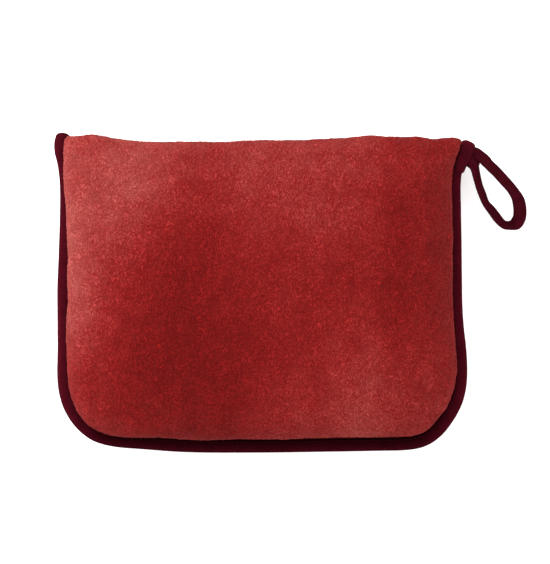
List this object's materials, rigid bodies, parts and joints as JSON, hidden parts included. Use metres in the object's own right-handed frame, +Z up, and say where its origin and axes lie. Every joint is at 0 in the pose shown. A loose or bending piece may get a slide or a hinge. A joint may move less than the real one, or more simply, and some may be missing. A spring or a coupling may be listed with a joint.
{
  "type": "packed travel blanket in a zipped pouch",
  "caption": "Plush blanket folded inside its own zipped plush pouch, with contrasting tape binding and a carry loop at one top corner.",
  "frame": {"origin": "centre of the flat resting face on the pouch's underside", "axes": "+X along the zip towards the carry loop, +Y from the bottom edge to the mouth, +Z up out of the front panel"},
  "size_m": [0.3319, 0.222, 0.072],
  "materials": {
    "plush": "matte",
    "blanket": "matte",
    "binding": "matte",
    "zip_cloth": "matte",
    "zip_coil": "satin",
    "zip_metal": "satin",
    "label": "satin"
  },
  "bodies": {
    "pouch": {"pouch_front_panel": "plush", "pouch_back_panel": "plush", "edge_binding": "binding", "loop_root": "binding", "zip_top_stop_front": "zip_metal", "zip_top_stop_back": "zip_metal", "zip_bottom_stop": "zip_metal"},
    "lip_front": {"mouth_lip_front": "plush", "zip_tape_front": "zip_cloth", "zip_coil_front": "zip_coil"},
    "lip_back": {"mouth_lip_back": "plush", "zip_tape_back": "zip_cloth", "zip_coil_back": "zip_coil"},
    "slider": {"zip_slider": "zip_metal"},
    "pull": {"zip_pull_tab": "zip_metal"},
    "blanket": {"folded_blanket": "blanket", "blanket_edge_tape": "binding", "care_label": "label"},
    "neck": {"loop_neck": "binding"},
    "loop": {"carry_loop": "binding"}
  },
  "joints": [
    {"name": "zip_slide", "type": "slide", "parent": "pouch", "child": "slider", "axis": [-1, 0, 0], "range_m": [0, 0.2405]},
    {"name": "pull_swing", "type": "hinge", "parent": "slider", "child": "pull", "pos_m": [0.1204, 0.10536, 0.033], "axis": [0, 0, 1], "range_deg": [0, 180]},
    {"name": "blanket_out", "type": "slide", "parent": "pouch", "child": "blanket", "axis": [0, 1, 0], "range_m": [0, 0.23], "deforming": ["mouth_lip_front", "mouth_lip_back", "zip_tape_front", "zip_tape_back", "zip_coil_front", "zip_coil_back"]},
    {"name": "lip_front_open", "type": "hinge", "parent": "pouch", "child": "lip_front", "pos_m": [0, 0.099, 0.063], "axis": [1, 0, 0], "range_deg": [0, 80]},
    {"name": "lip_back_open", "type": "hinge", "parent": "pouch", "child": "lip_back", "pos_m": [0, 0.099, 0.003], "axis": [-1, 0, 0], "range_deg": [0, 80]},
    {"name": "loop_swing", "type": "hinge", "parent": "pouch", "child": "neck", "pos_m": [0.1523, 0.097, 0.033], "axis": [0, 0, 1], "range_deg": [-5, 110]},
    {"name": "loop_lift", "type": "hinge", "parent": "neck", "child": "loop", "pos_m": [0.15597, 0.09104, 0.033], "axis": [-0.8517, -0.524, 0], "range_deg": [0, 120]}
  ],
  "couplings": [
    {"joint": "lip_front_open", "follows": "blanket_out", "rad_per_m": 6.07},
    {"joint": "lip_back_open", "follows": "blanket_out", "rad_per_m": 6.07}
  ]
}
